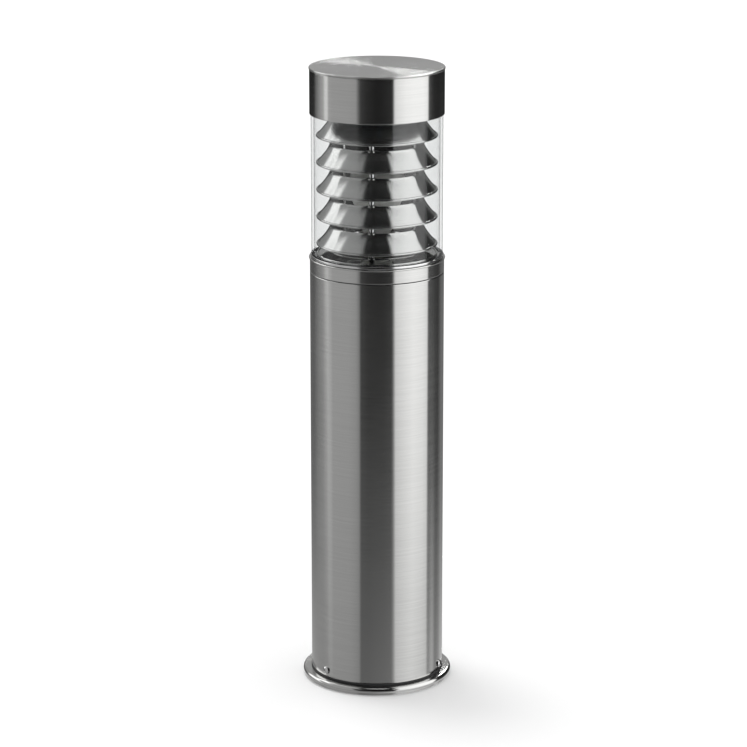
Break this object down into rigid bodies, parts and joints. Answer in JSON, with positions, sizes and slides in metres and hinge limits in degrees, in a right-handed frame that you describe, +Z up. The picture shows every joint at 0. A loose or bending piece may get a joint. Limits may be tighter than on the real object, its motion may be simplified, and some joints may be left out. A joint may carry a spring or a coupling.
{
  "type": "bollard light",
  "caption": "Round brushed steel bollard light: column on a bolt-down flange, clear lamp chamber with stacked louvre rings, flat cap, twist ring and lift-off head.",
  "frame": {"origin": "centre of the base, on the ground", "axes": "+Z up along the column's axis, -Y towards the front, +X to the right seen from the front"},
  "size_m": [0.158, 0.158, 0.6581],
  "materials": {
    "column_steel": "circumferentially brushed stainless steel",
    "louvre_steel": "spun and fine-brushed stainless steel",
    "polished_steel": "polished stainless steel",
    "clear_cover": "clear, polished",
    "cast_aluminium": "die-cast, matt",
    "zinc_steel": "zinc plated",
    "brass": "bright",
    "black_rubber": "matt",
    "porcelain": "glazed white",
    "terminal_plastic": "moulded",
    "wire_brown": "extruded insulation",
    "wire_blue": "extruded insulation",
    "wire_green": "extruded insulation, green with a yellow stripe",
    "opal_glass": "opal, satin",
    "lamp_plastic": "moulded white"
  },
  "bodies": {
    "post": {"base_flange": "column_steel", "base_casting": "cast_aluminium", "cable_gland": "black_rubber", "base_earth_screw": "brass", "terminal_bracket": "zinc_steel", "bracket_screws": "zinc_steel", "terminal_block": "terminal_plastic", "terminal_clamps": "brass", "terminal_screws": "zinc_steel", "tube_seal": "black_rubber", "column_tube": "column_steel", "column_screws": "polished_steel", "column_top_ring": "cast_aluminium", "seam_seal": "black_rubber", "head_seal": "black_rubber", "gear_plate": "zinc_steel", "gear_plate_screws": "zinc_steel", "plate_earth_screw": "brass", "lampholder_base": "porcelain", "lampholder_screws": "zinc_steel", "lampholder_shell": "brass", "lampholder_contact": "brass", "wire_live": "wire_brown", "wire_neutral": "wire_blue", "wire_earth": "wire_green", "wire_bond": "wire_green"},
    "lamp": {"lamp_globe": "opal_glass", "lamp_neck": "lamp_plastic", "lamp_cap": "brass", "lamp_contact": "zinc_steel"},
    "head": {"head_base": "cast_aluminium", "glass_seat": "polished_steel", "lower_glass_gasket": "black_rubber", "clear_tube": "clear_cover", "base_reflector": "louvre_steel", "louvre_1": "louvre_steel", "louvre_2": "louvre_steel", "louvre_3": "louvre_steel", "louvre_4": "louvre_steel", "louvre_5": "louvre_steel", "rod_spacers": "polished_steel", "tie_rods": "zinc_steel", "rod_nuts": "zinc_steel", "upper_glass_gasket": "black_rubber", "cap_plate": "zinc_steel", "cap_skirt": "column_steel", "cap_disc": "column_steel", "cap_stud": "zinc_steel", "cap_nut": "zinc_steel"},
    "locking_collar": {"locking_collar": "column_steel"}
  },
  "joints": [
    {"name": "head_lift", "type": "slide", "parent": "post", "child": "head", "axis": [0, 0, 1], "range_m": [0, 0.18]},
    {"name": "collar_turn", "type": "hinge", "parent": "head", "child": "locking_collar", "pos_m": [0, 0, 0.452], "axis": [0, 0, 1], "range_deg": [0, 60]},
    {"name": "lamp_turn", "type": "hinge", "parent": "post", "child": "lamp", "pos_m": [0, 0, 0.47], "axis": [0, 0, 1], "range_deg": [0, 1080]}
  ]
}
